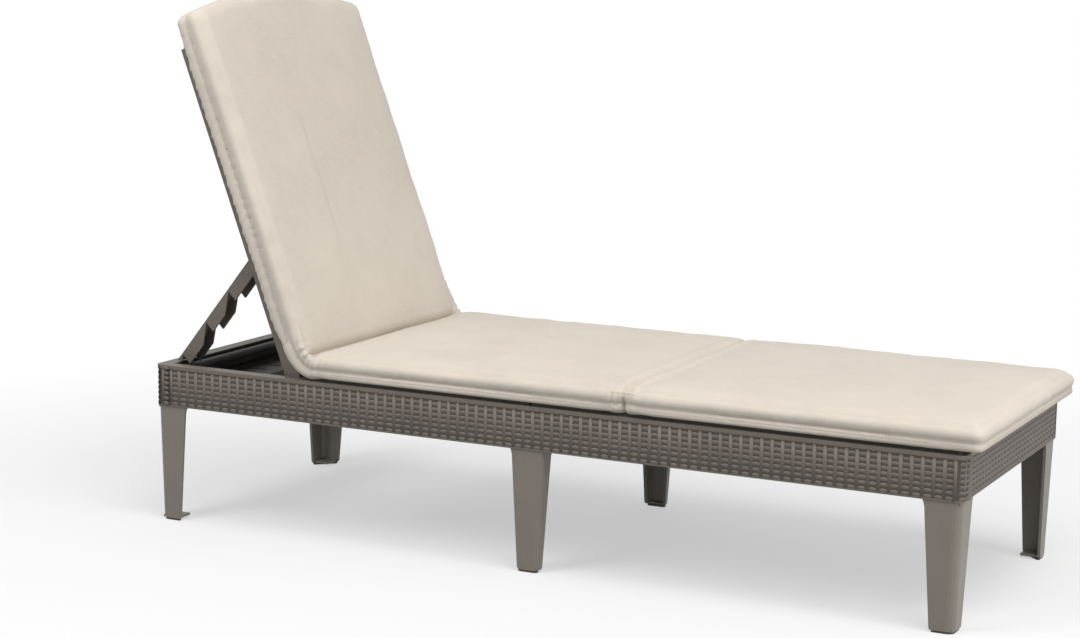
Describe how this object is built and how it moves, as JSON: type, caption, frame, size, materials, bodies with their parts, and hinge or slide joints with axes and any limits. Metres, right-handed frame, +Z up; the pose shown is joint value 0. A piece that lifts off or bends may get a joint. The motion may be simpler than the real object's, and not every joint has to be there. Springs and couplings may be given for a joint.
{
  "type": "relaxation lounger",
  "caption": "Flat resin-framed relaxation lounger with woven-look aprons, tapered legs, an adjustable backrest on notched prop arms and a boxed cushion.",
  "frame": {"origin": "on the floor, below the middle of the whole lounger's box with the backrest upright", "axes": "+X along the lounger towards the foot end, +Y to the left of a person lying on it with the feet towards +X, +Z up"},
  "size_m": [1.55, 0.5876, 0.9655],
  "materials": {
    "frame_resin": "matt moulded resin with a woven-look face",
    "leg_resin": "smooth matt moulded resin",
    "inner_resin": "matt moulded resin, darker inside the frame",
    "cushion_fabric": "plain woven polyester cover with a fine weave",
    "glide_rubber": "matt moulded rubber",
    "steel": "plain zinc-plated steel"
  },
  "bodies": {
    "base": {"side_rail_left": "frame_resin", "side_rail_right": "frame_resin", "head_rail": "frame_resin", "foot_rail": "frame_resin", "leg_head_left": "leg_resin", "leg_head_right": "leg_resin", "leg_mid_left": "leg_resin", "leg_mid_right": "leg_resin", "leg_foot_left": "leg_resin", "leg_foot_right": "leg_resin", "leg_glides": "glide_rubber", "leg_screws": "steel", "seat_deck": "inner_resin", "leg_deck": "inner_resin", "deck_screws": "steel", "hinge_beam": "inner_resin", "mid_beam": "inner_resin", "leg_beam": "inner_resin", "bay_shelf": "inner_resin", "rest_bar": "steel", "pivot_bracket_left": "inner_resin", "pivot_bracket_right": "inner_resin", "pivot_pin_left": "steel", "pivot_pin_right": "steel", "seat_cushion": "cushion_fabric", "leg_cushion": "cushion_fabric"},
    "backrest": {"backrest_stile_left": "frame_resin", "backrest_stile_right": "frame_resin", "backrest_top_rail": "frame_resin", "backrest_bottom_rail": "frame_resin", "backrest_panel": "inner_resin", "panel_screws": "steel", "prop_pins": "steel", "back_cushion": "cushion_fabric"},
    "prop": {"prop_arm_left": "frame_resin", "prop_arm_right": "frame_resin", "prop_cross_bar": "steel"}
  },
  "joints": [
    {"name": "backrest_hinge", "type": "hinge", "parent": "base", "child": "backrest", "pos_m": [-0.49, 0, 0.268], "axis": [0, -1, 0], "range_deg": [0, 60.5]},
    {"name": "prop_hinge", "type": "hinge", "parent": "backrest", "child": "prop", "pos_m": [-0.58053, 0, 0.50104], "axis": [0, -1, 0], "range_deg": [-121, 0]}
  ],
  "couplings": [
    {"joint": "prop_hinge", "follows": "backrest_hinge", "ratio": -2}
  ]
}
